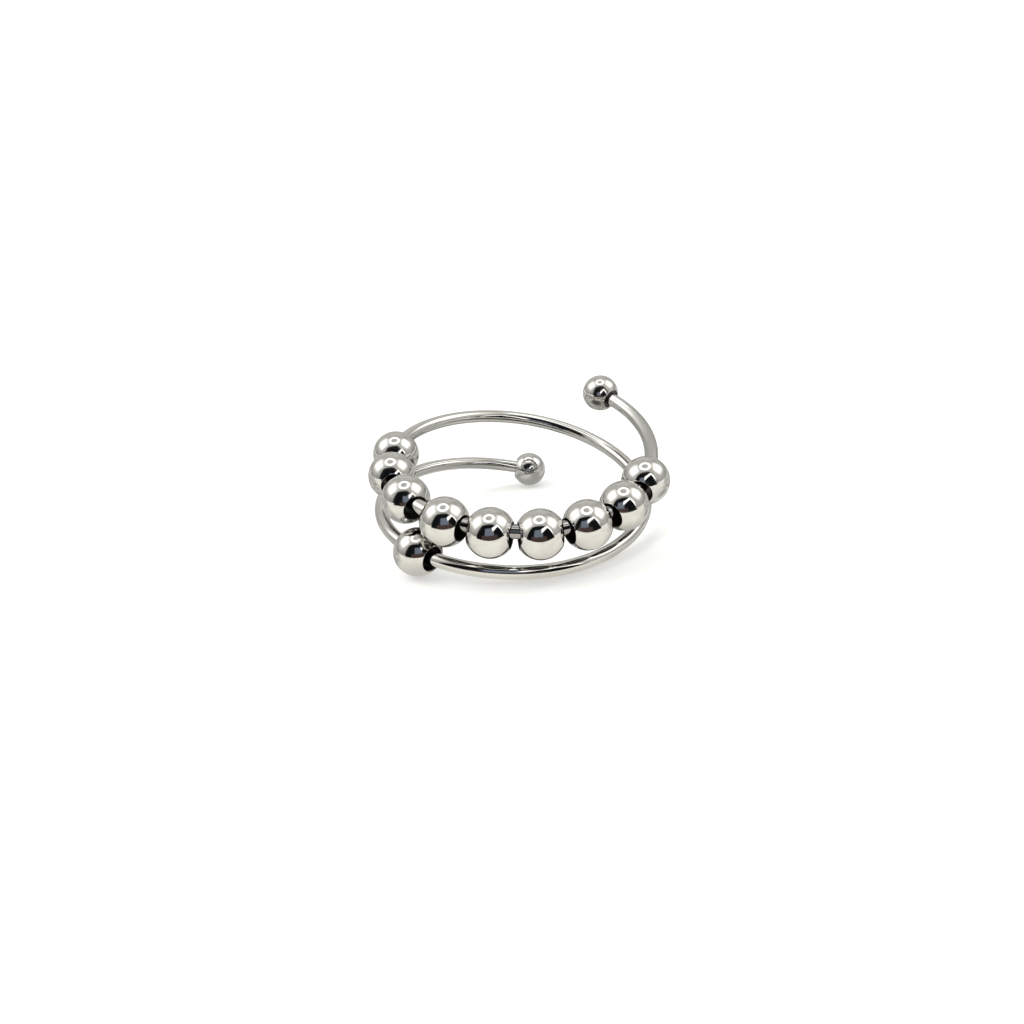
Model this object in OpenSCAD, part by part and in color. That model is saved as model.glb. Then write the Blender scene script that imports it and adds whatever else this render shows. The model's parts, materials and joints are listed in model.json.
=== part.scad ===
// Open spinner ring: one bent wire that makes two turns, a ball on each end,
// and loose drilled beads that spin on the wire.
// The ring lies on the plane z = 0. Lengths are in mm and angles in degrees.

/* [Wire] */
// Thickness of the wire.
wire_diameter = 1.15; // [0.9:0.05:1.4]
// Radius of a turn, from its middle to the middle of the wire.
coil_radius = 11.3; // [10.5:0.1:14]

/* [End balls] */
// Width of the ball on each end of the wire.
end_ball_diameter = 3.2; // [2.8:0.1:4]
// How far the bent part of the wire reaches into each ball.
end_ball_reach = 0.15; // [0.1:0.05:0.25]
// Depth of the wire's socket past the middle of each ball.
socket_past_middle = 0.5; // [0:0.1:0.9]
// Width of the recess around the wire at each ball's mouth.
recess_diameter = 1.7; // [1.5:0.05:2.2]
// Depth of that recess below its rim.
recess_depth = 0.2; // [0.1:0.05:0.4]
// Room between the wire and its socket, at the side and at the end.
socket_clearance = 0.02; // [0.01:0.01:0.04]

/* [Beads] */
// Width of each loose bead.
bead_diameter = 4; // [3.6:0.05:4.2]
// Width of the hole through each bead.
bead_bore = 2; // [1.7:0.05:2.3]
// Width of the bevel around each end of that hole.
bead_bevel = 0.08; // [0.04:0.02:0.12]
// Least room between the wire and the side of a bore that hangs on it.
bore_clearance = 0.04; // [0.02:0.01:0.08]
// Room between two beads that lie together.
bead_gap = 0.09; // [0.05:0.01:0.15]
// Room between the two beads that the strand leaves apart, over the lone bead.
strand_gap = 1; // [0.7:0.05:2]
// Angle along the coil, from its upper end, of the middle of that room.
strand_gap_angle = 177.8; // [160:0.2:200]
// Angle by which the lone bead stays behind the place one turn below it.
lone_bead_lag = 3.4; // [1:0.2:5]

/* [Hidden] */
// The bends of the wire, from its upper end to its lower end, as it was bent by hand.
// Columns: radius as a share of coil_radius, angle that the bend turns through,
// and roll about the wire before the bend, which makes the coil climb.
bends = [
    [0.910, 42.8, 0],
    [0.979, 90, 0.4],
    [0.971, 90, 8.7],
    [0.996, 90, 7.2],
    [0.969, 90, 2.4],
    [1.022, 90, 7.0],
    [1.013, 90, 6.2],
    [0.999, 92.5, 7.9],
];
SHARE = 0;
SWEEP = 1;
ROLL = 2;
last_bend = len(bends) - 1;

// Where the upper end of the bent wire lies when the ring rests: shares of coil_radius along
// X, Y and Z, counted upwards from the middle of the lower ball. Then how the wire heads there.
upper_end_shares = [0.8236, 0.4680, 0.7059];
upper_end_turn = -138.44;
upper_end_pitch = -18.47;
upper_end_roll = 8.87;

// The string of beads keeps these chosen rooms, beyond bead_gap, after each of its beads.
strand_extra_rooms = [0, 0, 0, 0, 0.05, strand_gap - bead_gap, 0.25, 0.05];
bead_before_gap = 6;
lone_bead = len(strand_extra_rooms) + 2;
full_turn = 360;

// Every second bend is drawn this much thinner and a little longer, so that its ends sit
// inside its neighbours and the wire is one exact solid. The straight ends are thinner again.
joint_step = 0.01;
joint_overlap = 0.15;

wire_radius = wire_diameter / 2;
end_ball_radius = end_ball_diameter / 2;
end_ball_offset = end_ball_radius - end_ball_reach;
recess_rim = sqrt(pow(end_ball_radius, 2) - pow(recess_diameter / 2, 2));

bore_radius = bead_bore / 2;
bead_half_length = sqrt(pow(bead_diameter, 2) - pow(bead_bore, 2)) / 2;
bevel_radius = bore_radius + bead_bevel;
bevel_rim = sqrt(pow(bead_diameter / 2, 2) - pow(bevel_radius, 2));
// The cone that cuts a bevel runs on past the ball, to this height.
bevel_cut = 3 * bead_bevel;
// The wire bends away from a straight bore by this much at the bore's ends.
bend_in_bore = pow(bead_half_length, 2) / (2 * coil_radius);
// A loose bead hangs this far below the middle of the wire.
bead_hang = max(0, bore_radius - wire_radius - bore_clearance - bend_in_bore / 2);
// Two beads on a bend touch at the inner rims of their holes, at this distance.
bead_half_angle = bead_diameter / (2 * coil_radius) * 180 / PI;
bead_touch = 2 * (bead_half_length * cos(bead_half_angle) + bore_radius * sin(bead_half_angle));

silver = [0.80, 0.80, 0.79];
pale_silver = [0.86, 0.86, 0.85];
$fn = 64;

function turn_x(a) = [[1, 0, 0, 0], [0, cos(a), -sin(a), 0], [0, sin(a), cos(a), 0], [0, 0, 0, 1]];
function turn_y(a) = [[cos(a), 0, sin(a), 0], [0, 1, 0, 0], [-sin(a), 0, cos(a), 0], [0, 0, 0, 1]];
function turn_z(a) = [[cos(a), -sin(a), 0, 0], [sin(a), cos(a), 0, 0], [0, 0, 1, 0], [0, 0, 0, 1]];
function shift(x, y, z) = [[1, 0, 0, x], [0, 1, 0, y], [0, 0, 1, z], [0, 0, 0, 1]];

function bend_radius(i) = coil_radius * bends[i][SHARE];
function bend_length(i) = bend_radius(i) * bends[i][SWEEP] * PI / 180;

// A place on the wire is a frame whose Y runs along the wire and whose X points at the middle
// of the bend. This steps from one place to another, angle a further round the same bend.
function along_bend(r, a) = shift(r, 0, 0) * turn_z(-a) * shift(-r, 0, 0);

upper_end_place = coil_radius * upper_end_shares + [0, 0, end_ball_radius];
upper_end =
    shift(upper_end_place[0], upper_end_place[1], upper_end_place[2])
    * turn_z(upper_end_turn) * turn_x(upper_end_pitch) * turn_y(upper_end_roll);

function bend_start(i) =
    i == 0 ? upper_end
    : bend_start(i - 1) * along_bend(bend_radius(i - 1), bends[i - 1][SWEEP]) * turn_y(bends[i][ROLL]);

lower_end = bend_start(last_bend) * along_bend(bend_radius(last_bend), bends[last_bend][SWEEP]);

// The place at length s along the wire, counted from the start of bend i.
function at_length(s, i = 0) =
    s <= bend_length(i) || i == last_bend
    ? bend_start(i) * along_bend(bend_radius(i), s / bend_radius(i) * 180 / PI)
    : at_length(s - bend_length(i), i + 1);

// The length along the wire at angle a round the coil, counted from the start of bend i.
function length_at(a, i = 0) =
    a <= bends[i][SWEEP] || i == last_bend
    ? bend_radius(i) * a * PI / 180
    : bend_length(i) + length_at(a - bends[i][SWEEP], i + 1);

function sum_to(list, n) = n <= 0 ? 0 : list[n - 1] + sum_to(list, n - 1);
// The length from the strand's first bead to bead n.
function strand_length(n) = (n - 1) * (bead_touch + bead_gap) + sum_to(strand_extra_rooms, n - 1);
strand_middle = (strand_length(bead_before_gap) + strand_length(bead_before_gap + 1)) / 2;
// The length along the wire, from its upper end, to bead n.
function bead_length(n) =
    n == lone_bead
    ? length_at(strand_gap_angle + full_turn - lone_bead_lag)
    : length_at(strand_gap_angle) + strand_length(n) - strand_middle;

// The bead on the lower turn stands on the floor, with the wire through its middle.
function hang_of(n) = n == lone_bead ? 0 : bead_hang;

// A bead's place, moved to the middle of the bend in its bore and hung straight down.
function bead_place(n) =
    let (place = at_length(bead_length(n)))
    let (down_x = -place[2][0], down_z = -place[2][2])
    let (size = sqrt(down_x * down_x + down_z * down_z))
    place * shift(
        bend_in_bore / 2 + hang_of(n) * down_x / size,
        0,
        hang_of(n) * down_z / size
    );

// One bend of the wire, from its own start.
module bend(r, a, d, overlap) {
    extra = overlap / r * 180 / PI;
    translate([r, 0, 0])
        rotate([0, 0, 180 - a - extra])
            rotate_extrude(angle = a + 2 * extra)
                translate([r, 0])
                    circle(d = d);
}

// The straight end of the wire inside a ball, drawn along -Y from the start of a bend.
module socket_end() {
    length = end_ball_offset + socket_past_middle - socket_clearance;
    translate([0, joint_overlap, 0])
        rotate([90, 0, 0])
            cylinder(h = length + joint_overlap, d = wire_diameter - 2 * joint_step);
}

module wire_coil() {
    color(silver)
        union() {
            for (i = [0 : last_bend]) {
                thin = i % 2 == 1;
                multmatrix(bend_start(i))
                    bend(
                        bend_radius(i),
                        bends[i][SWEEP],
                        thin ? wire_diameter - joint_step : wire_diameter,
                        thin ? joint_overlap : 0
                    );
            }
            multmatrix(upper_end) socket_end();
            multmatrix(lower_end * turn_z(180)) socket_end();
        }
}

// A ball whose socket opens towards +Y at the start of a bend.
module end_ball() {
    color(pale_silver)
        translate([0, -end_ball_offset, 0])
            rotate([-90, 0, 0])
                difference() {
                    sphere(d = end_ball_diameter);
                    translate([0, 0, -socket_past_middle])
                        cylinder(h = end_ball_diameter, r = wire_radius + socket_clearance);
                    translate([0, 0, recess_rim - recess_depth])
                        cylinder(h = end_ball_diameter, d = recess_diameter);
                }
}

module upper_end_ball() {
    multmatrix(upper_end) end_ball();
}

module lower_end_ball() {
    multmatrix(lower_end * turn_z(180)) end_ball();
}

// The cone that bevels one end of a bead's hole.
module bevel() {
    translate([0, 0, bevel_rim - bead_bevel])
        cylinder(h = bevel_cut, r1 = bore_radius, r2 = bore_radius + bevel_cut);
}

module bead(n) {
    color(pale_silver)
        multmatrix(bead_place(n))
            rotate([90, 0, 0])
                difference() {
                    sphere(d = bead_diameter);
                    cylinder(h = 2 * bead_diameter, d = bead_bore, center = true);
                    bevel();
                    mirror([0, 0, 1]) bevel();
                }
}

wire_coil();
upper_end_ball();
lower_end_ball();
bead(1);  // bead_1
bead(2);  // bead_2
bead(3);  // bead_3
bead(4);  // bead_4
bead(5);  // bead_5
bead(6);  // bead_6
bead(7);  // bead_7
bead(8);  // bead_8
bead(9);  // bead_9
bead(10);  // bead_10
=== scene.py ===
import json
import math
import random

import bmesh
import bpy
import numpy as np
from bpy.props import FloatProperty, FloatVectorProperty, IntProperty, PointerProperty
from mathutils import Matrix, Vector


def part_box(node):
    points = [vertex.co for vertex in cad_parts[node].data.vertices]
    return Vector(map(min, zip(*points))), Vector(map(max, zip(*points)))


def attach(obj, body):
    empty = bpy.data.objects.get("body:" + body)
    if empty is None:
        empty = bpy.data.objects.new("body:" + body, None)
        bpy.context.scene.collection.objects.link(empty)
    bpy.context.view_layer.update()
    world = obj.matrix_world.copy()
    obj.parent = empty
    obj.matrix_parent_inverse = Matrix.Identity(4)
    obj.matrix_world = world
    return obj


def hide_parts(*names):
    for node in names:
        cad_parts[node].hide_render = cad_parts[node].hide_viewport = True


bl_info = {
    "name": "Spinner Ring",
    "version": (1, 0, 0),
    "blender": (4, 5, 0),
    "location": "View3D > Sidebar > Spinner Ring",
    "description": "Builds a polished coil ring with drilled beads that spin on its wire",
    "category": "Add Mesh",
}

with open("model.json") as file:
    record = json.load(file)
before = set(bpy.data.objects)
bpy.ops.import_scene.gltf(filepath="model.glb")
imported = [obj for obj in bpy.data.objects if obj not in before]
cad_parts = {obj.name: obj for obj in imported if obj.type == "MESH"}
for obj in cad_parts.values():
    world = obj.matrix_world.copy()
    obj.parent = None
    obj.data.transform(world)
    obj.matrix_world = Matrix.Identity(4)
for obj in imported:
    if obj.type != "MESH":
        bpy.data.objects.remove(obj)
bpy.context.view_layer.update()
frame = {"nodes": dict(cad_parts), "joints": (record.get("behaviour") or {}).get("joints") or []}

MM = 0.001
OWN_PLACE = "own_place"
IN_BORE = "in_bore"

# The bends of the wire, from its upper end to its lower end, as the solid wire has them.
# Columns: radius as a share of the coil's radius, angle turned through, and roll before the bend.
BENDS = (
    (0.910, 42.8, 0),
    (0.979, 90, 0.4),
    (0.971, 90, 8.7),
    (0.996, 90, 7.2),
    (0.969, 90, 2.4),
    (1.022, 90, 7.0),
    (1.013, 90, 6.2),
    (0.999, 92.5, 7.9),
)
# Where the bent wire's upper end lies, in shares of the coil's radius above the lower ball's
# middle, and how the wire heads there.
UPPER_END_SHARES = (0.8236, 0.4680, 0.7059)
UPPER_END_TURN = -138.44
UPPER_END_PITCH = -18.47
UPPER_END_ROLL = 8.87
# A roll or a change of radius is eased over this angle to each side of its joint, and the path has
# a point at each step of the other one. Both are in degrees.
BEND_EASE = 8
BEND_STEP = 1
# The looks' wire may stray this far from the solid wire, of which one point in so many is tried.
WIRE_TOLERANCE = 0.03 * MM
CHECK_STEP = 7
# Stretches of the wire with another look: satin past the upper ball, and painted shade between the beads.
# Columns: where along the wire it sets in, where it goes, added roughness and share of the colour kept.
WIRE_STRETCHES = (
    ((3.5 * MM, 6 * MM), (10 * MM, 16 * MM), 0.3, 0.72),
    # Painted shade: the wire is darker and a little rougher where it runs between the beads.
    ((13 * MM, 14 * MM), (33 * MM, 34 * MM), 0.03, 0.5),
    ((38 * MM, 39 * MM), (45 * MM, 46 * MM), 0.03, 0.5),
)
# Faces along a bead's and an end ball's outside, and across each rounded edge.
BEAD_OUTLINE_STEPS = 72
BALL_OUTLINE_STEPS = 64
ROUND_STEPS = 5

# Polishing scratches, in three sets. Columns: how a set is turned, its fineness and its lines' width.
SCRATCHES = (
    ((0.4, 0.9, 0.2), 14, 0.012),
    ((1.3, 0.3, 1.1), 19, 0.010),
    ((2.2, 1.7, 0.5), 31, 0.014),
)
# How much each kind of mark adds to a metal's height, roughness and dullness.
GRAIN_HEIGHT = 0.02
SCRATCH_HEIGHT = -0.10
SCRATCH_ROUGHNESS = 0.12
SMUDGE_DULLNESS = 0.5
# Noises that mottle the looks. Columns: scale, detail, and the values that count as 0 and as 1.
SMUDGES = (0.85, 4, 0.44, 0.72)
SCRATCHED_PATCHES = (1.7, 2, 0.46, 0.66)
BORE_DIRT = (2.2 / MM, 3, 0.4, 0.7)
CARD_BLOTS = (0.2 / MM, 0.6, 0.38, 0.68)
CARD_STAINS = (0.07 / MM, 1, 0.4, 0.66)
PAPER_CLOUDS = (9, 3, 0.3, 0.7)
# Noises that only shape a surface. Columns: scale and detail.
WAVES = (0.55, 1)
GRAIN = (60, 2)
PAPER_FIBRE = (2600, 2)
# How deep the paper's fibre is, and how strongly it shows.
FIBRE_DEPTH = 0.01 * MM
FIBRE_STRENGTH = 0.4
# The drill's rings in a bore: how their noise is squeezed along it, how deep they are, and the two
# values between which they vary the roughness.
RING_SCALE = (200, 200, 16 / MM)
RING_DEPTH = 0.006 * MM
RING_ROUGHNESS = (0.28, 0.5)
# Shares of its colour that a metal keeps where it is dull, a bore where it is dirty, and the paper
# where it is cloudy.
DULL_SHARE = 0.9
DIRTY_SHARE = 0.45
CLOUDY_SHARE = 0.985

# Colours of the painted reflection of the tent's dark front.
BLACK = (0.008, 0.009, 0.010, 1)
SILL_BROWN = (0.085, 0.055, 0.05, 1)
WINDOW_BLUE = (0.20, 0.23, 0.29, 1)
# The panels of that painted reflection, in millimetres: what is dark, the lamp's strips as painted
# highlights, the sill and the window.
# Columns: middle across and up, half width and height, taper, slant and softness.
PANEL_SIZES = ("Middle Across", "Middle Up", "Half Width", "Half Height", "Taper", "Slant", "Softness")
FRONT_PANELS = {
    "room": (-12, 18, 27, 25, 0.4, -0.22, 2),
    "wing": (21, 10, 16, 25, 0.62, 0, 1.5),
    "window": (-4, 17, 9, 8.5, 0, 0, 1.5),
    "sill": (-4.5, 2.5, 17, 6.5, 0, 0, 2),
    "painted_lamp_side": (15, 31.5, 11.5, 4.8, 0, 0.86, 1.8),
    "painted_lamp_top": (32, 29, 6.5, 8.5, 0, -2.08, 1.8),
}
FRONT_HALF_WIDTH = 120 * MM
# The tent's wall low down and higher up, the heights between which it changes, and how much its
# clouds dim or brighten it.
WALL_LOW = (0.43, 0.425, 0.405, 1)
WALL_HIGH = (0.66, 0.655, 0.62, 1)
WALL_RISE = (0.0, 0.45)
WALL_CLOUDS = (0.72, 1.18)
# The side lamps' azimuths and elevations in degrees, their panel's sizes from one length away, and
# the share of blue in their light.
LAMP_PLACES = ((95, 42), (-99, 44))
LAMP_PANEL = (0, 0, 0.37, 0.29, 0, 0, 0.2)
LAMP_BLUE = 0.97
# A direction that heads less than this towards a panel of the tent doesn't meet it.
EDGE_ON = 0.02
# The soft inner and outer edges of the ring lamp, as tangents of the angle from straight up.
RING_LAMP_INNER = (0.19, 0.25)
RING_LAMP_OUTER = (0.37, 0.45)
# The dark room that the tent opens to, how bright it is, and how bright the tent is below the floor.
DARK_ROOM = (-0.25, 0.7, 1.2, 1.0, 0.3, 0, 0.3)
ROOM_GREY = 0.02
BELOW_GREY = 1.5

# Painted reflections that the floor shows the metal in place of itself: a white and cream card in front,
# and a grey one with pale blots behind, where along Y one gives way to the other, and how much of the
# floor's look the white hides.
CARD_WHITE = (1.10, 1.07, 0.96, 1)
CARD_CREAM = (0.90, 0.86, 0.77, 1)
CARD_GREY = (0.45, 0.45, 0.43, 1)
CARD_PALE = (0.82, 0.82, 0.78, 1)
CARD_EDGE = (-14 * MM, -5 * MM)
CARD_SHARE = 0.7
# Soft spots of painted reflection on the floor. Columns: middle, size, and shares of that size at which a
# spot is full and gone. Right before the dark front lies a painted reflection of the end of its brown
# sill, and the grey card has a spot of painted shade inside the ring. What is mirrored twice is painted
# shade under the ring, and the count of a ray's reflections is past TWICE there.
SILL_DARK = (0.035, 0.022, 0.02, 1)
SILL_SPOT = ((1 * MM, -45 * MM, 0), (32 * MM, 15 * MM, 1), 0.8, 1.05)
INNER_SHADE_DARK = (0.10, 0.092, 0.084, 1)
INNER_SHADE_SPOT = ((1 * MM, -1 * MM, 0), (12 * MM, 8 * MM, 1), 0.35, 1.1)
SHADE_DARK = (0.02, 0.017, 0.015, 1)
SHADE_SPOT = ((0, 0, 0), (1, 1, 1), 14 * MM, 24 * MM)
TWICE = 1.5

# Sides of the round floor and backdrop, and the angles of the backdrop's curve in degrees.
SWEEP_SIDES = 96
SWEEP_ANGLES = range(0, 78, 3)
# The broad lights. Columns: width, and the turns about X and Y, in degrees.
KEY_LIGHT = (40, (-6, -46))
TOP_LIGHT = (110, (0, 0))

# The camera stands where the photograph was taken from.
CAMERA_PLACE = (-0.74 * MM, -80.84 * MM, 32.51 * MM)
CAMERA_AIM = (-0.60 * MM, 0, 1.71 * MM)
CAMERA_ROLL = -5.27
FRAME_PIXELS = 1024
FOCAL_PIXELS = 984.9
SENSOR_WIDTH = 36


def height_of(node):
    """The height of a solid's box, in metres."""
    low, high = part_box(node)
    return high.z - low.z


# Settings


def length_setting(name, description, default, low=0.0):
    """A length that the user can set."""
    return FloatProperty(
        name=name, description=description, default=default, min=low, subtype="DISTANCE", precision=6
    )


def share_setting(name, description, default):
    """A share from 0 to 1 that the user can set."""
    return FloatProperty(
        name=name, description=description, default=default, min=0, max=1, subtype="FACTOR"
    )


def strength_setting(name, description, default):
    """A brightness that the user can set."""
    return FloatProperty(name=name, description=description, default=default, min=0)


def count_setting(name, description, default, low, high):
    """A whole number that the user can set."""
    return IntProperty(name=name, description=description, default=default, min=low, max=high)


def colour_setting(name, description, default):
    """A colour that the user can set."""
    return FloatVectorProperty(
        name=name, description=description, default=default, min=0, max=1, subtype="COLOR"
    )


class WireSettings(bpy.types.PropertyGroup):
    """Sizes of the bent wire."""

    diameter: length_setting("Diameter", "Thickness of the wire", 1.15 * MM, 0.5 * MM)
    coil_radius: length_setting(
        "Coil Radius", "Radius of a turn, to the middle of the wire", 11.3 * MM, 5 * MM
    )
    sides: count_setting("Sides", "Faces around the wire", 48, 12, 96)


class EndBallSettings(bpy.types.PropertyGroup):
    """Sizes of the balls on the wire's ends."""

    diameter: length_setting("Diameter", "Width of each end ball", height_of("upper_end_ball"), 1 * MM)
    reach: length_setting("Reach", "How far the bent part of the wire reaches into each ball", 0.15 * MM)
    socket_past_middle: length_setting(
        "Socket Past Middle", "Depth of the wire's socket past the middle of each ball", 0.5 * MM
    )
    socket_clearance: length_setting("Socket Clearance", "Room between the wire and its socket", 0.02 * MM)
    recess_diameter: length_setting("Recess Diameter", "Width of the recess around the wire", 1.7 * MM)
    recess_depth: length_setting("Recess Depth", "Depth of that recess below its rim", 0.2 * MM)
    rounding: length_setting("Rounding", "Radius of the polished rim around the recess", 0.05 * MM)


class BeadSettings(bpy.types.PropertyGroup):
    """Sizes of the loose beads."""

    diameter: length_setting("Diameter", "Width of each bead", height_of("bead_1"), 1 * MM)
    bore: length_setting("Bore", "Width of the hole through each bead", 2 * MM, 0.5 * MM)
    bevel: length_setting("Bevel", "Width of the bevel around each end of the hole", 0.08 * MM)
    rounding: length_setting(
        "Rounding", "Radius to which polishing has rounded the bevel's edges", 0.05 * MM
    )
    steps: count_setting("Steps", "Faces around each bead", 112, 24, 192)
    seed: count_setting("Seed", "Seed of the wear that differs from bead to bead", 7, 0, 999)


class FinishSettings(bpy.types.PropertyGroup):
    """Colours and finishes of the metal."""

    steel: colour_setting("Steel", "Colour of the polished steel", (0.69, 0.68, 0.655))
    # The bores' dark colour is drilled steel with painted shade, for the holes, their bevels and the
    # balls' recesses.
    bore_steel_and_shade: colour_setting(
        "Bore", "Colour of the unpolished steel inside the bores", (0.17, 0.165, 0.16)
    )
    bead_roughness: share_setting("Bead Roughness", "Roughness of a bead where it is cleanest", 0.035)
    ball_roughness: share_setting(
        "End Ball Roughness", "Roughness of an end ball where it is cleanest", 0.09
    )
    wire_roughness: share_setting("Wire Roughness", "Roughness of the wire where it is cleanest", 0.055)


class StageSettings(bpy.types.PropertyGroup):
    """Floor and light around the ring."""

    floor_colour: colour_setting("Floor", "Colour of the floor", (0.72, 0.72, 0.712))
    floor_glow: strength_setting(
        "Floor Glow", "Light that the floor gives off itself, which softens the shadows", 0.56
    )
    floor_radius: length_setting("Floor Radius", "Radius of the flat floor", 0.4)
    sweep_radius: length_setting(
        "Sweep Radius", "Radius of the curve in which the backdrop rises from the floor", 0.7
    )
    sweep_height: length_setting("Sweep Height", "Height of the backdrop", 1.2)
    tent_strength: strength_setting("Tent Strength", "Brightness of the light tent around the ring", 1)
    lamp_strength: strength_setting("Lamp Strength", "Brightness of the tent's lamps", 2.1)
    front_distance: length_setting(
        "Front Distance", "Distance from the ring to the dark front of the tent", 36 * MM
    )
    key_strength: strength_setting("Key Strength", "Strength of the soft key light", 0.75)
    top_strength: strength_setting("Top Strength", "Strength of the broad light from above", 0.68)


class RingSettings(bpy.types.PropertyGroup):
    """Everything that a user would change."""

    wire: PointerProperty(type=WireSettings)
    end_ball: PointerProperty(type=EndBallSettings)
    bead: PointerProperty(type=BeadSettings)
    finish: PointerProperty(type=FinishSettings)
    stage: PointerProperty(type=StageSettings)


# Node helpers


def feed(tree, socket, value):
    """Gives an input a value, or links it to the output that the value is."""
    if isinstance(value, bpy.types.NodeSocket):
        tree.links.new(value, socket)
    else:
        socket.default_value = value


def in_use(sockets, name):
    """The one of a node's like-named sockets that is in use."""
    return next(socket for socket in sockets if socket.name == name and socket.enabled)


def put(tree, kind, sockets=None, **settings):
    """Adds a node. sockets maps an input's name or number to a value, or to the output that feeds it."""
    node = tree.nodes.new(kind)
    for key, value in settings.items():
        setattr(node, key, value)
    for key, value in (sockets or {}).items():
        feed(tree, node.inputs[key], value)
    return node


def calculate(tree, operation, *values, clamp=False):
    """One Math node, and its result."""
    sockets = dict(enumerate(values))
    return put(tree, "ShaderNodeMath", sockets, operation=operation, use_clamp=clamp).outputs[0]


def largest(tree, first, *others):
    """The largest of several values."""
    for value in others:
        first = calculate(tree, "MAXIMUM", first, value)
    return first


def combine(tree, operation, *values):
    """One Vector Math node, and the result that the operation has."""
    node = put(tree, "ShaderNodeVectorMath", dict(enumerate(values)), operation=operation)
    return node.outputs["Value" if operation in ("DOT_PRODUCT", "LENGTH") else "Vector"]


def remap(tree, value, low, high, low_to=0.0, high_to=1.0, ease="SMOOTHSTEP"):
    """A value eased from one range to another."""
    sockets = {"Value": value, "From Min": low, "From Max": high, "To Min": low_to, "To Max": high_to}
    return put(tree, "ShaderNodeMapRange", sockets, interpolation_type=ease).outputs["Result"]


def mix_colours(tree, share, first, second):
    """One colour mixed with another."""
    node = put(tree, "ShaderNodeMix", data_type="RGBA")
    for name, value in {"Factor": share, "A": first, "B": second}.items():
        feed(tree, in_use(node.inputs, name), value)
    return in_use(node.outputs, "Result")


def noise(tree, place, scale, detail, **more):
    """A noise's value at a place. more holds further inputs, such as its Roughness."""
    sockets = {"Vector": place, "Scale": scale, "Detail": detail, **more}
    return put(tree, "ShaderNodeTexNoise", sockets).outputs[0]


def mottled(tree, place, columns, **more):
    """A noise eased from 0 to 1 between two of its values, from a row such as SMUDGES."""
    scale, detail, low, high = columns
    return remap(tree, noise(tree, place, scale, detail, **more), low, high)


def add_bumps(tree, shader, height, depth, strength=1):
    """Bumps on a shader's surface, in metres where the height is 1."""
    bump = put(tree, "ShaderNodeBump", {"Height": height, "Strength": strength, "Distance": depth})
    tree.links.new(bump.outputs["Normal"], shader.inputs["Normal"])


def new_group(name, kind, inputs, outputs):
    """A node group with named sockets, what it is given and what it results in."""
    tree = bpy.data.node_groups.new(name, kind)
    for direction, sockets in (("INPUT", inputs), ("OUTPUT", outputs)):
        for socket_name, socket_kind, default in sockets:
            socket = tree.interface.new_socket(socket_name, in_out=direction, socket_type=socket_kind)
            if default is not None:
                socket.default_value = default
    return tree, tree.nodes.new("NodeGroupInput").outputs, tree.nodes.new("NodeGroupOutput").inputs


def shared_group(name, make):
    """A node group that is made once."""
    return bpy.data.node_groups.get(name) or make()


def grey(value):
    """A neutral colour."""
    return (value, value, value, 1)


def dimmed(colour, share):
    """A colour of which only a share is kept."""
    return (*(share * part for part in colour), 1)


# Shader groups


def scratch_lines(tree, place, turned, fineness, width):
    """Thin lines where a strongly squeezed noise crosses its middle value."""
    sockets = {"Vector": place, "Rotation": turned, "Scale": (0.45, 0.45, fineness)}
    squeezed = put(tree, "ShaderNodeMapping", sockets).outputs["Vector"]
    from_middle = calculate(tree, "SUBTRACT", noise(tree, squeezed, 1, 1, Roughness=0.4), 0.5)
    return remap(tree, calculate(tree, "ABSOLUTE", from_middle), 0, width, 1, 0)


def make_wear_group():
    """Polishing scratches, handling smudges and a slight waviness, for each polished metal."""
    tree, given, result = new_group(
        "Polished Metal Wear",
        "ShaderNodeTree",
        [
            ("Place", "NodeSocketVector", None),
            ("Clean Roughness", "NodeSocketFloat", 0.05),
            ("Smudge Roughness", "NodeSocketFloat", 0.08),
            ("Scratch Amount", "NodeSocketFloat", 0.5),
            ("Waviness", "NodeSocketFloat", 1.0),
        ],
        [(name, "NodeSocketFloat", None) for name in ("Roughness", "Height", "Dullness")],
    )
    place = combine(tree, "MULTIPLY", given["Place"], (1 / MM, 1 / MM, 1 / MM))
    smudge = mottled(tree, place, SMUDGES, Roughness=0.55, Distortion=0.6)
    lines = largest(tree, *(scratch_lines(tree, place, *columns) for columns in SCRATCHES))
    patches = mottled(tree, place, SCRATCHED_PATCHES)
    scratches = calculate(tree, "MULTIPLY", lines, patches)
    scratches = calculate(tree, "MULTIPLY", scratches, given["Scratch Amount"])
    waves = noise(tree, place, *WAVES)
    grain = noise(tree, place, *GRAIN)
    height = calculate(tree, "MULTIPLY", waves, given["Waviness"])
    height = calculate(tree, "MULTIPLY_ADD", grain, GRAIN_HEIGHT, height)
    height = calculate(tree, "MULTIPLY_ADD", scratches, SCRATCH_HEIGHT, height)
    roughness = calculate(
        tree, "MULTIPLY_ADD", smudge, given["Smudge Roughness"], given["Clean Roughness"]
    )
    roughness = calculate(tree, "MULTIPLY_ADD", scratches, SCRATCH_ROUGHNESS, roughness)
    dullness = calculate(tree, "MULTIPLY_ADD", smudge, SMUDGE_DULLNESS, scratches, clamp=True)
    tree.links.new(roughness, result["Roughness"])
    tree.links.new(height, result["Height"])
    tree.links.new(dullness, result["Dullness"])
    return tree


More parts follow.
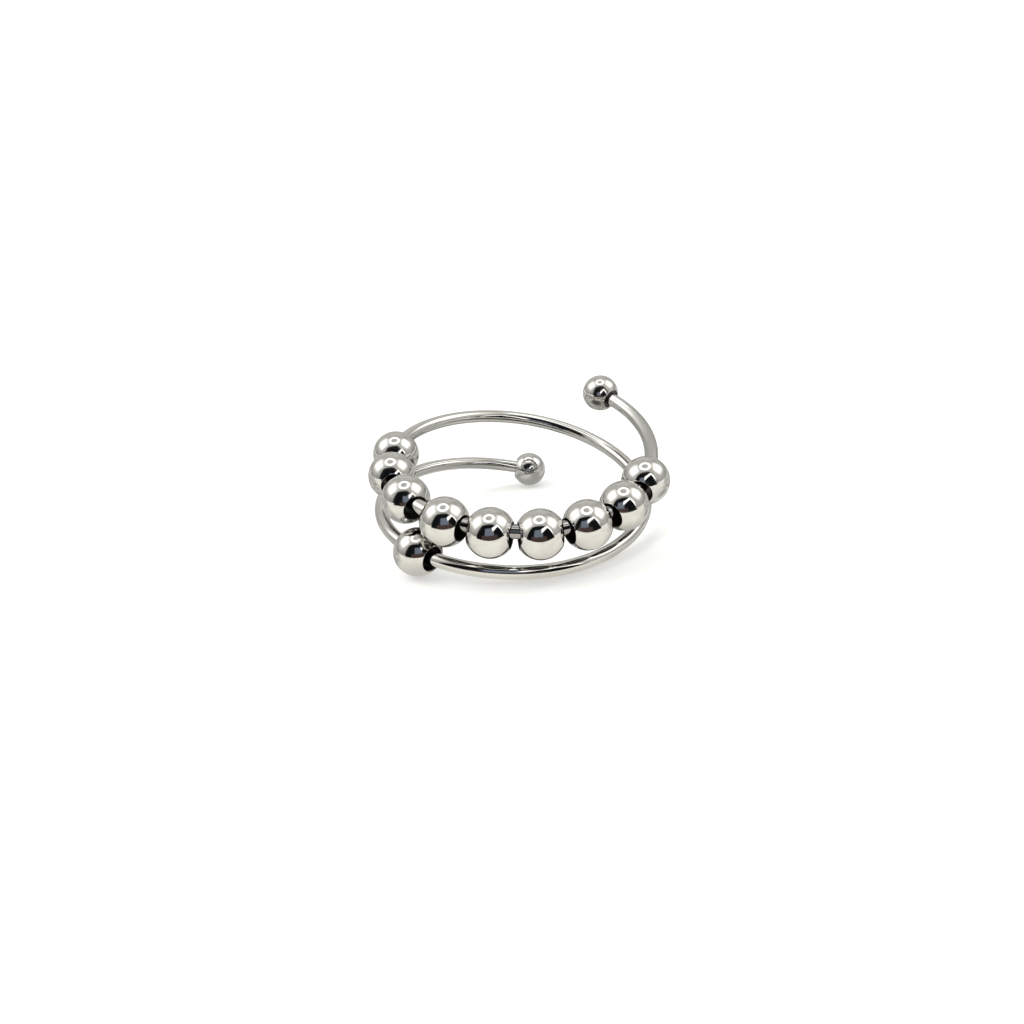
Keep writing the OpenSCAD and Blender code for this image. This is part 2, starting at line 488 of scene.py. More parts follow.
def make_panel_group():
    """The soft-edged mask of a flat panel, at a place on the panel's plane."""
    tree, given, result = new_group(
        "Soft Panel",
        "ShaderNodeTree",
        [(name, "NodeSocketFloat", None) for name in ("Across", "Up", *PANEL_SIZES)],
        [("Mask", "NodeSocketFloat", None)],
    )
    up = calculate(tree, "SUBTRACT", given["Up"], given["Middle Up"])
    across = calculate(tree, "SUBTRACT", given["Across"], given["Middle Across"])
    up = calculate(tree, "SUBTRACT", up, calculate(tree, "MULTIPLY", across, given["Slant"]))
    narrowed = calculate(tree, "MULTIPLY", up, given["Taper"])
    half_width = calculate(tree, "SUBTRACT", given["Half Width"], narrowed)
    past_side = calculate(tree, "SUBTRACT", calculate(tree, "ABSOLUTE", across), half_width)
    past_top = calculate(tree, "SUBTRACT", calculate(tree, "ABSOLUTE", up), given["Half Height"])
    softness = given["Softness"]
    inside = calculate(tree, "MULTIPLY", softness, -1)
    beside = remap(tree, past_side, inside, softness, 1, 0)
    within = remap(tree, past_top, inside, softness, 1, 0)
    tree.links.new(calculate(tree, "MULTIPLY", beside, within), result["Mask"])
    return tree


# Materials


def empty_material(name):
    """A material and its node tree, which is still empty."""
    material = bpy.data.materials.new(name)
    material.use_nodes = True
    material.node_tree.nodes.clear()
    return material, material.node_tree


def new_material(name):
    """A material with a Principled BSDF, its node tree and that shader."""
    material, tree = empty_material(name)
    shader = put(tree, "ShaderNodeBsdfPrincipled")
    put(tree, "ShaderNodeOutputMaterial", {"Surface": shader.outputs["BSDF"]})
    return material, tree, shader


def polished_steel(name, finish, look, stretches=()):
    """Mirror-polished steel with the wear group's marks in the piece's own place."""
    material, tree, shader = new_material(name)
    colour = tuple(finish.steel)
    place = put(tree, "ShaderNodeAttribute", attribute_name=OWN_PLACE).outputs["Vector"]
    marks = put(tree, "ShaderNodeMapping", {"Vector": place, "Scale": look["fineness"]}).outputs[0]
    clean = look["clean"]
    along = put(tree, "ShaderNodeSeparateXYZ", {"Vector": place}).outputs["Z"]
    paints = []
    # Each stretch changes roughness and colour; on the wire the stretches between the beads are painted
    # shade.
    for sets_in, goes, rise, kept in stretches:
        here = calculate(tree, "MULTIPLY", remap(tree, along, *sets_in), remap(tree, along, *goes, 1, 0))
        clean = calculate(tree, "MULTIPLY_ADD", here, rise, clean)
        paints.append((here, dimmed(colour, kept)))
    sockets = {
        "Place": marks,
        "Clean Roughness": clean,
        "Smudge Roughness": look["smudged"],
        "Scratch Amount": look["scratched"],
        "Waviness": look["wavy"],
    }
    group = shared_group("Polished Metal Wear", make_wear_group)
    wear = put(tree, "ShaderNodeGroup", sockets, node_tree=group).outputs
    paint = mix_colours(tree, wear["Dullness"], (*colour, 1), dimmed(colour, DULL_SHARE))
    for here, stretch_paint in paints:
        paint = mix_colours(tree, here, paint, stretch_paint)
    tree.links.new(paint, shader.inputs["Base Color"])
    tree.links.new(wear["Roughness"], shader.inputs["Roughness"])
    add_bumps(tree, shader, wear["Height"], look["bump_depth"])
    shader.inputs["Metallic"].default_value = 1
    return material


def bore_material(finish):
    """The unpolished wall of every bore, dark with painted shade, with the drill's rings and the dirt that
    they hold.
    """
    name = "shaded_drilled_bore"
    if name in bpy.data.materials:
        return bpy.data.materials[name]
    material, tree, shader = new_material(name)
    # This dark colour is painted shade in the hole.
    colour = tuple(finish.bore_steel_and_shade)
    place = put(tree, "ShaderNodeAttribute", attribute_name=OWN_PLACE).outputs["Vector"]
    rings = put(tree, "ShaderNodeMapping", {"Vector": place, "Scale": RING_SCALE}).outputs[0]
    ring_noise = noise(tree, rings, 1, 3)
    dirt = mottled(tree, place, BORE_DIRT)
    paint = mix_colours(tree, dirt, (*colour, 1), dimmed(colour, DIRTY_SHARE))
    tree.links.new(paint, shader.inputs["Base Color"])
    tree.links.new(remap(tree, ring_noise, 0.3, 0.7, *RING_ROUGHNESS), shader.inputs["Roughness"])
    add_bumps(tree, shader, ring_noise, RING_DEPTH)
    shader.inputs["Metallic"].default_value = 1
    return material


def soft_spot(tree, place, middle, size, full_to, gone_from):
    """The mask of an ellipse on the floor, full and gone at these shares of its size."""
    from_middle = combine(tree, "DIVIDE", combine(tree, "SUBTRACT", place, middle), size)
    return remap(tree, combine(tree, "LENGTH", from_middle), full_to, gone_from, 1, 0)


def mirrored_cards(tree, place):
    """Painted reflections and painted shade that the metal sees in place of the floor, and how much of the
    floor's own look that hides.
    """
    light_path = put(tree, "ShaderNodeLightPath").outputs
    behind = remap(tree, put(tree, "ShaderNodeSeparateXYZ", {"Vector": place}).outputs["Y"], *CARD_EDGE)
    on_sill = soft_spot(tree, place, *SILL_SPOT)
    twice = calculate(tree, "GREATER_THAN", light_path["Glossy Depth"], TWICE)
    shaded = calculate(tree, "MULTIPLY", twice, soft_spot(tree, place, *SHADE_SPOT))
    blots = mottled(tree, place, CARD_BLOTS)
    blotted = mix_colours(tree, blots, CARD_GREY, CARD_PALE)
    # A spot of painted shade inside the ring.
    blotted = mix_colours(tree, soft_spot(tree, place, *INNER_SHADE_SPOT), blotted, INNER_SHADE_DARK)
    stains = mottled(tree, place, CARD_STAINS)
    colour = mix_colours(tree, behind, mix_colours(tree, stains, CARD_WHITE, CARD_CREAM), blotted)
    # A painted reflection of the dark sill's end.
    colour = mix_colours(tree, on_sill, colour, SILL_DARK)
    # Painted shade where the metal mirrors itself twice.
    colour = mix_colours(tree, shaded, colour, SHADE_DARK)
    share = remap(tree, largest(tree, behind, on_sill, shaded), 0, 1, CARD_SHARE, 1, ease="LINEAR")
    return colour, calculate(tree, "MULTIPLY", light_path["Is Glossy Ray"], share)


def floor_paper(colour, glow):
    """Matt pale paper, lit a little from below, with faint cloudiness and fibre."""
    material, tree, shader = new_material("floor_paper")
    place = put(tree, "ShaderNodeTexCoord").outputs["Object"]
    clouds = mottled(tree, place, PAPER_CLOUDS)
    paper = mix_colours(tree, clouds, (*colour, 1), dimmed(colour, CLOUDY_SHARE))
    tree.links.new(paper, shader.inputs["Base Color"])
    tree.links.new(paper, shader.inputs["Emission Color"])
    shader.inputs["Emission Strength"].default_value = glow
    add_bumps(tree, shader, noise(tree, place, *PAPER_FIBRE), FIBRE_DEPTH, FIBRE_STRENGTH)
    shader.inputs["Roughness"].default_value = 0.9
    shader.inputs["Specular IOR Level"].default_value = 0
    # Mirror rays see painted reflections and painted shade in place of the paper.
    card_colour, share = mirrored_cards(tree, place)
    cards = put(tree, "ShaderNodeEmission", {"Color": card_colour}).outputs[0]
    seen = put(tree, "ShaderNodeMixShader", {0: share, 1: shader.outputs["BSDF"], 2: cards})
    out = next(node for node in tree.nodes if node.type == "OUTPUT_MATERIAL")
    tree.links.new(seen.outputs[0], out.inputs["Surface"])
    return material


# The path of the wire


def eased(value):
    """Smoothstep of a value from 0 to 1."""
    value = min(1, max(0, value))
    return value * value * (3 - 2 * value)


def turn(angle, axis):
    """A turn by an angle in degrees."""
    return Matrix.Rotation(math.radians(angle), 4, axis)


def wire_places(settings):
    """Frames along the bent wire, from its upper end to its lower one.

    Y runs along the wire, and X points at the middle of the bend.
    """
    radius = settings.wire.coil_radius
    start = Vector(UPPER_END_SHARES) * radius
    start.z += settings.end_ball.diameter / 2
    place = (
        Matrix.Translation(start)
        @ turn(UPPER_END_TURN, "Z")
        @ turn(UPPER_END_PITCH, "X")
        @ turn(UPPER_END_ROLL, "Y")
    )
    joints = []
    angle = 0
    for number, (share, sweep, roll) in enumerate(BENDS):
        if number:
            joints.append((angle, share - BENDS[number - 1][0], roll))
        angle += sweep

    def past(here, joint_angle):
        """How much of a joint's change has happened by this angle."""
        return eased((here - joint_angle + BEND_EASE) / (2 * BEND_EASE))

    places = [place]
    steps = round(angle / BEND_STEP)
    for number in range(steps):
        here = angle * number / steps
        there = angle * (number + 1) / steps
        middle = (here + there) / 2
        share = BENDS[0][0] + sum(change * past(middle, at) for at, change, _ in joints)
        roll = sum(full * (past(there, at) - past(here, at)) for at, _, full in joints)
        reach = radius * share
        place = (
            place
            @ Matrix.Translation((reach, 0, 0))
            @ turn(here - there, "Z")
            @ Matrix.Translation((-reach, 0, 0))
            @ turn(roll, "Y")
        )
        places.append(place)
    return places


def check_against_solid(points, radius):
    """Raises an error where the path isn't the solid wire's."""
    solid = frame["nodes"]["wire_coil"].data
    surface = np.array([v.co for v in solid.vertices], float)
    path = np.array([tuple(p) for p in points], float)
    starts = path[:-1]
    steps = path[1:] - starts
    worst = 0
    for vertex in surface[::CHECK_STEP]:
        along = ((vertex - starts) * steps).sum(1) / (steps * steps).sum(1)
        nearest = starts + np.clip(along, 0, 1)[:, None] * steps
        distance = np.linalg.norm(vertex - nearest, axis=1).min()
        worst = max(worst, distance - radius)
    if worst > WIRE_TOLERANCE:
        raise ValueError(f"the wire is {worst / MM:.3f} mm off the solid wire")


# Meshes


def rounded(points, corner_radii):
    """An outline with its corners rounded. corner_radii maps a point's number to its radius."""
    outline = []
    for number, point in enumerate(points):
        radius = corner_radii.get(number, 0)
        if not radius:
            outline.append(point)
            continue
        corner = Vector(point)
        back = (Vector(points[number - 1]) - corner).normalized()
        ahead = (Vector(points[(number + 1) % len(points)]) - corner).normalized()
        half_angle = back.angle(ahead) / 2
        middle = corner + (back + ahead).normalized() * (radius / math.sin(half_angle))
        first = corner + back * (radius / math.tan(half_angle)) - middle
        last = corner + ahead * (radius / math.tan(half_angle)) - middle
        swing = first.angle_signed(last)
        for step in range(ROUND_STEPS + 1):
            arm = Matrix.Rotation(-swing * step / ROUND_STEPS, 2) @ first
            outline.append(tuple(middle + arm))
    return outline


def turned_mesh(name, outline, bore_strips, steps, is_closed):
    """An outline of (along, radius) points turned about Z. bore_strips numbers its unpolished strips."""
    shape = bmesh.new()
    in_bore = shape.faces.layers.int.new(IN_BORE)
    rows = []
    for along, radius in outline:
        if radius < 1e-9:
            rows.append([shape.verts.new((0, 0, along))] * steps)
            continue
        angles = [2 * math.pi * k / steps for k in range(steps)]
        rows.append([shape.verts.new((radius * math.cos(a), radius * math.sin(a), along)) for a in angles])
    pairs = list(zip(rows, rows[1:]))
    if is_closed:
        pairs.append((rows[-1], rows[0]))
    for number, (here, there) in enumerate(pairs):
        for k in range(steps):
            corners = [here[k], here[(k + 1) % steps], there[(k + 1) % steps], there[k]]
            face = shape.faces.new(list(dict.fromkeys(corners)))
            face.smooth = True
            face[in_bore] = int(number in bore_strips)
    bmesh.ops.recalc_face_normals(shape, faces=shape.faces)
    mesh = bpy.data.meshes.new(name)
    shape.to_mesh(mesh)
    shape.free()
    return mesh


def sphere_outline(radius, from_radius, to_radius, steps):
    """Points of a ball's outline, from one ring round its axis, over its widest place, to another."""
    first = -math.acos(from_radius / radius)
    last = math.acos(to_radius / radius)
    angles = [first + (last - first) * k / steps for k in range(steps + 1)]
    return [(radius * math.sin(a), radius * math.cos(a)) for a in angles]


def bead_mesh(settings):
    """A drilled ball with a rounded bevel around each end of its hole."""
    bead = settings.bead
    bore = bead.bore / 2
    rim = bore + bead.bevel
    outline = sphere_outline(bead.diameter / 2, rim, rim, BEAD_OUTLINE_STEPS)
    upper_rim = len(outline) - 1
    wall_end = outline[-1][0] - bead.bevel
    outline += [(wall_end, bore), (-wall_end, bore)]
    radii = {
        0: bead.rounding / 2,
        upper_rim: bead.rounding / 2,
        upper_rim + 1: bead.rounding,
        upper_rim + 2: bead.rounding,
    }
    smooth = rounded(outline, radii)
    # The bore's wall and both of its bevels are unpolished, and dark with painted shade.
    drilled = range(upper_rim + 2 * ROUND_STEPS, len(smooth))
    return turned_mesh("bead_shape", smooth, drilled, bead.steps, True)


def end_ball_mesh(settings):
    """A ball with a blind socket for the wire and a recess at the socket's mouth."""
    ball = settings.end_ball
    recess = ball.recess_diameter / 2
    socket = settings.wire.diameter / 2 + ball.socket_clearance
    outline = sphere_outline(ball.diameter / 2, 0, recess, BALL_OUTLINE_STEPS)
    rim = len(outline) - 1
    recess_floor = outline[-1][0] - ball.recess_depth
    outline += [
        (recess_floor, recess),
        (recess_floor, socket),
        (-ball.socket_past_middle, socket),
        (-ball.socket_past_middle, 0),
    ]
    radii = {rim: ball.rounding, rim + 1: ball.rounding, rim + 2: ball.rounding / 2}
    smooth = rounded(outline, radii)
    # The recess and the socket are unpolished, and dark with painted shade.
    drilled = range(rim + ROUND_STEPS, len(smooth) - 1)
    return turned_mesh("end_ball_shape", smooth, drilled, settings.bead.steps, False)


# Geometry Nodes


def with_own_place(tree, geometry, place):
    """Geometry that keeps each point's own place, where its material's marks are."""
    sockets = {"Geometry": geometry, "Name": OWN_PLACE}
    kind = "GeometryNodeStoreNamedAttribute"
    stored = put(tree, kind, sockets, data_type="FLOAT_VECTOR", domain="POINT")
    tree.links.new(place, in_use(stored.inputs, "Value"))
    return stored.outputs["Geometry"]


def painted(tree, geometry, material, selection=True):
    """Geometry with a material on its selected faces."""
    sockets = {"Geometry": geometry, "Material": material, "Selection": selection}
    return put(tree, "GeometryNodeSetMaterial", sockets).outputs["Geometry"]


def make_wire_tree():
    """Sweeps a round section along the path, and keeps each point's place on the wire before bending."""
    tree, given, result = new_group(
        "Bent Wire",
        "GeometryNodeTree",
        [
            ("Path", "NodeSocketGeometry", None),
            ("Diameter", "NodeSocketFloat", 0.001),
            ("Sides", "NodeSocketInt", 48),
            ("Steel", "NodeSocketMaterial", None),
        ],
        [("Mesh", "NodeSocketGeometry", None)],
    )
    length = put(tree, "GeometryNodeSplineParameter").outputs["Length"]
    path = put(tree, "GeometryNodeCaptureAttribute", {"Geometry": given["Path"]})
    path.capture_items.new("FLOAT", "Length")
    tree.links.new(length, path.inputs["Length"])
    radius = calculate(tree, "MULTIPLY", given["Diameter"], 0.5)
    circle = {"Resolution": given["Sides"], "Radius": radius}
    section = put(tree, "GeometryNodeCurvePrimitiveCircle", circle).outputs["Curve"]
    outline = put(tree, "GeometryNodeCaptureAttribute", {"Geometry": section})
    outline.capture_items.new("VECTOR", "Side")
    tree.links.new(put(tree, "GeometryNodeInputPosition").outputs[0], outline.inputs["Side"])
    sockets = {
        "Curve": path.outputs["Geometry"],
        "Profile Curve": outline.outputs["Geometry"],
        "Fill Caps": True,
    }
    swept = put(tree, "GeometryNodeCurveToMesh", sockets).outputs["Mesh"]
    lengthwise = put(tree, "ShaderNodeCombineXYZ", {"Z": path.outputs["Length"]}).outputs[0]
    before_bending = combine(tree, "ADD", outline.outputs["Side"], lengthwise)
    stored = with_own_place(tree, swept, before_bending)
    smooth = put(tree, "GeometryNodeSetShadeSmooth", {"Geometry": stored}).outputs["Geometry"]
    real = put(tree, "GeometryNodeRealizeInstances", {"Geometry": smooth}).outputs["Geometry"]
    tree.links.new(painted(tree, real, given["Steel"]), result["Mesh"])
    return tree


def make_threaded_tree():
    """Threads a turned shape on the wire: at a place, with its axis along the wire there."""
    tree, given, result = new_group(
        "Threaded On Wire",
        "GeometryNodeTree",
        [
            ("Shape", "NodeSocketGeometry", None),
            ("Place", "NodeSocketVector", None),
            ("Along", "NodeSocketVector", None),
            ("Wear Shift", "NodeSocketVector", None),
            ("Outside", "NodeSocketMaterial", None),
            ("Bore", "NodeSocketMaterial", None),
        ],
        [("Mesh", "NodeSocketGeometry", None)],
    )
    position = put(tree, "GeometryNodeInputPosition").outputs[0]
    own_place = combine(tree, "ADD", position, given["Wear Shift"])
    shape = with_own_place(tree, given["Shape"], own_place)
    point = put(tree, "GeometryNodePoints", {"Count": 1, "Position": given["Place"]}).outputs[0]
    kind = "FunctionNodeAlignRotationToVector"
    turned = put(tree, kind, {"Vector": given["Along"]}, axis="Z").outputs["Rotation"]
    sockets = {"Points": point, "Instance": shape, "Rotation": turned}
    threaded = put(tree, "GeometryNodeInstanceOnPoints", sockets).outputs["Instances"]
    real = put(tree, "GeometryNodeRealizeInstances", {"Geometry": threaded}).outputs["Geometry"]
    outside = painted(tree, real, given["Outside"])
    in_bore = put(tree, "GeometryNodeInputNamedAttribute", {"Name": IN_BORE}, data_type="INT")
    bored = painted(tree, outside, given["Bore"], in_use(in_bore.outputs, "Attribute"))
    tree.links.new(bored, result["Mesh"])
    return tree


def plain_piece(name, source, tree, inputs):
    """Runs a tree on an object's data and returns the result as a plain mesh object."""
    maker = bpy.data.objects.new(name + "_maker", source)
    bpy.context.scene.collection.objects.link(maker)
    modifier = maker.modifiers.new(tree.name, "NODES")
    modifier.node_group = tree
    sockets = {item.name: item.identifier for item in tree.interface.items_tree if item.in_out == "INPUT"}
    for socket_name, value in inputs.items():
        modifier[sockets[socket_name]] = value
    bpy.context.view_layer.update()
    evaluated = maker.evaluated_get(bpy.context.evaluated_depsgraph_get())
    mesh = bpy.data.meshes.new_from_object(evaluated)
    mesh.name = name
    maker.modifiers.clear()
    bpy.data.objects.remove(maker)
    if not mesh.polygons:
        raise ValueError(f"{name} came out empty")
    piece = bpy.data.objects.new(name, mesh)
    bpy.context.scene.collection.objects.link(piece)
    return piece


def threaded_piece(name, mesh, inputs):
    """A turned shape on the wire, with the bore's material in its hole."""
    bore = bore_material(bpy.context.scene.spinner_ring.finish)
    tree = shared_group("Threaded On Wire", make_threaded_tree)
    return plain_piece(name, mesh, tree, {**inputs, "Bore": bore})


# Operators


class SPINNERRING_OT_wire(bpy.types.Operator):
    """Add the bent wire of nearly two turns"""

    bl_idname = "spinner_ring.add_wire"
    bl_label = "Add Wire Coil"

    def execute(self, context):
        settings = context.scene.spinner_ring
        places = wire_places(settings)
        ball = settings.end_ball
        straight = ball.diameter / 2 - ball.reach + ball.socket_past_middle - ball.socket_clearance
        points = [
            places[0] @ Vector((0, -straight, 0)),
            *(place.translation for place in places),
            places[-1] @ Vector((0, straight, 0)),
        ]
        check_against_solid(points, settings.wire.diameter / 2)
        path = bpy.data.curves.new("wire_path", "CURVE")
        path.dimensions = "3D"
        spline = path.splines.new("POLY")
        spline.points.add(len(points) - 1)
        for number, point in enumerate(points):
            spline.points[number].co = (*point, 1)
        look = {"clean": settings.finish.wire_roughness, "smudged": 0.05, "scratched": 0.6, "wavy": 0.5,
                "bump_depth": 0.005 * MM, "fineness": (1, 1, 0.12)}
        inputs = {
            "Diameter": settings.wire.diameter,
            "Sides": settings.wire.sides,
            "Steel": polished_steel("polished_wire", settings.finish, look, WIRE_STRETCHES),
        }
        wire = plain_piece("bent_wire", path, shared_group("Bent Wire", make_wire_tree), inputs)
        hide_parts("wire_coil")
        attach(wire, "wire")
        return {"FINISHED"}


class SPINNERRING_OT_end_balls(bpy.types.Operator):
    """Add the ball on each end of the wire"""

    bl_idname = "spinner_ring.add_end_balls"
    bl_label = "Add End Balls"

    def execute(self, context):
        settings = context.scene.spinner_ring
        places = wire_places(settings)
        offset = settings.end_ball.diameter / 2 - settings.end_ball.reach
        look = {"clean": settings.finish.ball_roughness, "smudged": 0.08, "scratched": 0.8, "wavy": 1,
                "bump_depth": 0.010 * MM, "fineness": (2, 2, 2)}
        steel = polished_steel("polished_balls", settings.finish, look)
        for node, place, side in (("upper_end_ball", places[0], -1), ("lower_end_ball", places[-1], 1)):
            inputs = {
                "Place": place @ Vector((0, side * offset, 0)),
                "Along": place.to_3x3() @ Vector((0, -side, 0)),
                "Wear Shift": (0.01 * side, 0, 0),
                "Outside": steel,
            }
            ball = threaded_piece("turned_" + node, end_ball_mesh(settings), inputs)
            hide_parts(node)
            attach(ball, "wire")
        return {"FINISHED"}


class SPINNERRING_OT_beads(bpy.types.Operator):
    """Add the loose beads, each on its own joint"""

    bl_idname = "spinner_ring.add_beads"
    bl_label = "Add Beads"

    def execute(self, context):
        settings = context.scene.spinner_ring
        wear = random.Random(settings.bead.seed)
        look = {"clean": settings.finish.bead_roughness, "smudged": 0.05, "scratched": 0.5, "wavy": 1,
                "bump_depth": 0.010 * MM, "fineness": (1, 1, 1)}
        steel = polished_steel("polished_beads", settings.finish, look)
        mesh = bead_mesh(settings)
        for joint in frame["joints"]:
            body = joint["child"]
            inputs = {
                "Place": Vector(joint["pos_m"]),
                "Along": Vector(joint["axis"]),
                "Wear Shift": tuple(wear.uniform(-0.05, 0.05) for _ in range(3)),
                "Outside": steel,
            }
            bead = threaded_piece("drilled_" + body, mesh, inputs)
            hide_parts(body)
            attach(bead, body)
        return {"FINISHED"}


class SPINNERRING_OT_stage(bpy.types.Operator):
    """Add the floor, the light tent, the key light and the camera"""

    bl_idname = "spinner_ring.add_stage"
    bl_label = "Add Stage"

    def execute(self, context):
        stage = context.scene.spinner_ring.stage
        add_floor(stage)
        add_tent(stage)
        add_front(stage)
        add_light("soft_key", stage.key_strength, *KEY_LIGHT)
        add_light("soft_top", stage.top_strength, *TOP_LIGHT)
        add_camera(context.scene)
        context.scene.view_settings.view_transform = "Standard"
        return {"FINISHED"}


# Stage


def stage_object(name, mesh, material):
    """A mesh of the stage, in the scene."""
    mesh.materials.append(material)
    thing = bpy.data.objects.new(name, mesh)
    bpy.context.scene.collection.objects.link(thing)
    return thing


def only_for(thing, kind):
    """Hides a stage mesh from every kind of ray but one."""
    for name in ("visible_camera", "visible_diffuse", "visible_glossy", "visible_transmission",
                 "visible_volume_scatter", "visible_shadow"):
        setattr(thing, name, name == kind)


def add_floor(stage):
    """A flat pale floor, and a backdrop that rises from it in a curve and that only the camera sees."""
    paper = floor_paper(tuple(stage.floor_colour), stage.floor_glow)
    shape = bmesh.new()
    bmesh.ops.create_circle(shape, cap_ends=True, segments=SWEEP_SIDES, radius=stage.floor_radius)
    mesh = bpy.data.meshes.new("floor")
    shape.to_mesh(mesh)
    shape.free()
    stage_object("floor", mesh, paper)

    bend = [math.radians(angle) for angle in SWEEP_ANGLES]
    profile = [
        (stage.floor_radius + stage.sweep_radius * math.sin(a), stage.sweep_radius * (1 - math.cos(a)))
        for a in bend
    ]
    profile.append((profile[-1][0], stage.sweep_height))
    turns = [2 * math.pi * k / SWEEP_SIDES for k in range(SWEEP_SIDES)]
    vertices = [(r * math.cos(t), r * math.sin(t), z) for r, z in profile for t in turns]
    faces = []
    for row in range(len(profile) - 1):
        for k in range(SWEEP_SIDES):
            here = row * SWEEP_SIDES
            ahead = (k + 1) % SWEEP_SIDES
            faces.append((here + k, here + SWEEP_SIDES + k, here + SWEEP_SIDES + ahead, here + ahead))
    mesh = bpy.data.meshes.new("backdrop")
    mesh.from_pydata(vertices, [], faces)
    mesh.shade_smooth()
    backdrop = stage_object("backdrop", mesh, paper)
    only_for(backdrop, "visible_camera")


def soft_panel(tree, across, up, sizes):
    """The mask of one panel, from a place on its plane."""
    group = shared_group("Soft Panel", make_panel_group)
    sockets = {"Across": across, "Up": up, **dict(zip(PANEL_SIZES, sizes))}
    return put(tree, "ShaderNodeGroup", sockets, node_tree=group).outputs["Mask"]


def panel_in_tent(tree, direction, azimuth, elevation, sizes):
    """The mask of a panel of the tent. Azimuth 0 faces the camera's side, and 90 the ring's right."""
    azimuth = math.radians(azimuth)
    elevation = math.radians(elevation)
    flat = math.cos(elevation)
    facing = Vector((math.sin(azimuth) * flat, -math.cos(azimuth) * flat, math.sin(elevation)))
    level = Vector((math.cos(azimuth), math.sin(azimuth), 0))
    depth = combine(tree, "DOT_PRODUCT", direction, facing)
    in_front = calculate(tree, "GREATER_THAN", depth, EDGE_ON)
    depth = calculate(tree, "MAXIMUM", depth, EDGE_ON)
    across = calculate(tree, "DIVIDE", combine(tree, "DOT_PRODUCT", direction, level), depth)
    up = calculate(tree, "DIVIDE", combine(tree, "DOT_PRODUCT", direction, facing.cross(level)), depth)
    return calculate(tree, "MULTIPLY", soft_panel(tree, across, up, sizes), in_front)


def add_tent(stage):
    """A light tent: soft walls, a lamp at each side, a ring lamp above and a dark front."""
    world = bpy.data.worlds.new("light_tent")
    world.use_nodes = True
    tree = world.node_tree
    tree.nodes.clear()
    direction = put(tree, "ShaderNodeTexCoord").outputs["Generated"]
    height = put(tree, "ShaderNodeSeparateXYZ", {"Vector": direction}).outputs["Z"]
    wall = mix_colours(tree, remap(tree, height, *WALL_RISE), WALL_LOW, WALL_HIGH)
    shade = remap(tree, noise(tree, direction, 3, 3), 0.3, 0.7, *WALL_CLOUDS, ease="LINEAR")
    wall = combine(tree, "MULTIPLY", wall, shade)
    lamps = largest(tree, *(panel_in_tent(tree, direction, *place, LAMP_PANEL) for place in LAMP_PLACES))
    bright = stage.lamp_strength
    wall = mix_colours(tree, lamps, wall, (bright, bright, LAMP_BLUE * bright, 1))
    sideways = combine(tree, "LENGTH", combine(tree, "MULTIPLY", direction, (1, 1, 0)))
    off_top = calculate(tree, "DIVIDE", sideways, calculate(tree, "MAXIMUM", height, 0.05))
    inner = remap(tree, off_top, *RING_LAMP_INNER)
    outer = remap(tree, off_top, *RING_LAMP_OUTER, 1, 0)
    wall = mix_colours(tree, calculate(tree, "MULTIPLY", inner, outer), wall, grey(bright))
    opening = panel_in_tent(tree, direction, 0, 0, DARK_ROOM)
    wall = mix_colours(tree, opening, wall, grey(ROOM_GREY))
    wall = mix_colours(tree, calculate(tree, "LESS_THAN", height, 0), wall, grey(BELOW_GREY))
    light = put(tree, "ShaderNodeBackground", {"Color": wall, "Strength": stage.tent_strength})
    put(tree, "ShaderNodeOutputWorld", {"Surface": light.outputs[0]})
    bpy.context.scene.world = world


def add_front(stage):
    """A painted reflection of the tent's dark open front, with painted highlights of a lamp, which the
    metal mirrors and the camera looks through.
    """
    half = FRONT_HALF_WIDTH
    near = -stage.front_distance
    corners = [(-half, near, 0), (half, near, 0), (half, near, half), (-half, near, half)]
    mesh = bpy.data.meshes.new("painted_dark_front")
    mesh.from_pydata(corners, [], [(0, 1, 2, 3)])
    material, tree = empty_material("painted_dark_front")
    place = put(tree, "ShaderNodeTexCoord").outputs["Object"]
    place = combine(tree, "MULTIPLY", place, (1 / MM, 1 / MM, 1 / MM))
    place = put(tree, "ShaderNodeSeparateXYZ", {"Vector": place}).outputs
    masks = {name: soft_panel(tree, place["X"], place["Z"], FRONT_PANELS[name]) for name in FRONT_PANELS}
    strip = largest(tree, masks["painted_lamp_side"], masks["painted_lamp_top"])
    colour = mix_colours(tree, masks["sill"], BLACK, SILL_BROWN)
    colour = mix_colours(tree, masks["window"], colour, WINDOW_BLUE)
    # The lamp's strips are painted highlights.
    colour = mix_colours(tree, strip, colour, grey(stage.lamp_strength))
    seen = largest(tree, masks["room"], masks["wing"], strip)
    glow = put(tree, "ShaderNodeEmission", {"Color": colour}).outputs[0]
    clear = put(tree, "ShaderNodeBsdfTransparent").outputs[0]
    surface = put(tree, "ShaderNodeMixShader", {0: seen, 1: clear, 2: glow})
    put(tree, "ShaderNodeOutputMaterial", {"Surface": surface.outputs[0]})
    front = stage_object("painted_dark_front", mesh, material)
    only_for(front, "visible_glossy")


def add_light(name, strength, width, tilt):
    """A broad light that the metal doesn't mirror. tilt gives its turns about X and Y in degrees."""
    light = bpy.data.lights.new(name, "SUN")
    light.energy = strength
    light.angle = math.radians(width)
    lamp = bpy.data.objects.new(name, light)
    lamp.rotation_euler = (math.radians(tilt[0]), math.radians(tilt[1]), 0)
    lamp.visible_glossy = False
    bpy.context.scene.collection.objects.link(lamp)


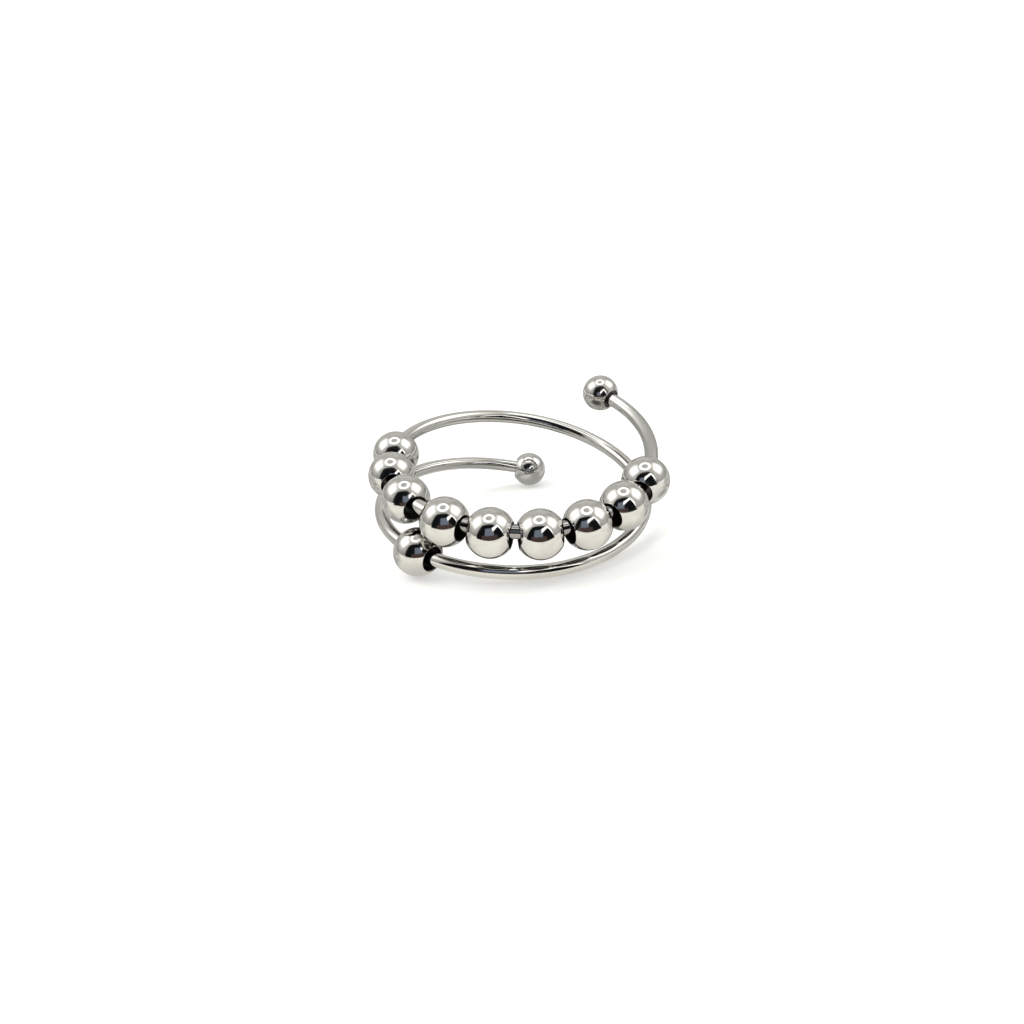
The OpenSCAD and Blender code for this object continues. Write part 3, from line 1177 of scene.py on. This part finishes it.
def add_camera(scene):
    """The camera at the photograph's place, aim and focal length."""
    data = bpy.data.cameras.new("photo_camera")
    data.sensor_width = SENSOR_WIDTH
    data.lens = FOCAL_PIXELS / FRAME_PIXELS * SENSOR_WIDTH
    data.clip_start = 0.001
    data.clip_end = 20
    camera = bpy.data.objects.new("photo_camera", data)
    place = Vector(CAMERA_PLACE)
    looking = (Vector(CAMERA_AIM) - place).to_track_quat("-Z", "Y").to_matrix().to_4x4()
    camera.matrix_world = Matrix.Translation(place) @ looking @ turn(CAMERA_ROLL, "Z")
    scene.collection.objects.link(camera)
    scene.camera = camera


# Panel and registration


class SPINNERRING_PT_panel(bpy.types.Panel):
    """Lists the ring's sizes, finishes and operators"""

    bl_idname = "SPINNERRING_PT_panel"
    bl_label = "Spinner Ring"
    bl_space_type = "VIEW_3D"
    bl_region_type = "UI"
    bl_category = "Spinner Ring"

    def draw(self, context):
        settings = context.scene.spinner_ring
        for name in ("wire", "end_ball", "bead", "finish", "stage"):
            box = self.layout.box()
            box.label(text=name.replace("_", " ").title())
            group = getattr(settings, name)
            for key in group.bl_rna.properties.keys():
                if key not in ("rna_type", "name"):
                    box.prop(group, key)
        for operator in OPERATORS:
            self.layout.operator(operator.bl_idname)


OPERATORS = (
    SPINNERRING_OT_wire,
    SPINNERRING_OT_end_balls,
    SPINNERRING_OT_beads,
    SPINNERRING_OT_stage,
)
CLASSES = (
    WireSettings,
    EndBallSettings,
    BeadSettings,
    FinishSettings,
    StageSettings,
    RingSettings,
    *OPERATORS,
    SPINNERRING_PT_panel,
)


def register():
    """Registers the classes and the scene's settings."""
    for cls in CLASSES:
        bpy.utils.register_class(cls)
    bpy.types.Scene.spinner_ring = PointerProperty(type=RingSettings)


def unregister():
    """Takes the settings and classes away again."""
    del bpy.types.Scene.spinner_ring
    for cls in reversed(CLASSES):
        bpy.utils.unregister_class(cls)


def main():
    """Builds the ring and its stage."""
    register()
    bpy.ops.spinner_ring.add_wire()
    bpy.ops.spinner_ring.add_end_balls()
    bpy.ops.spinner_ring.add_beads()
    bpy.ops.spinner_ring.add_stage()


if __name__ == "__main__":
    main()
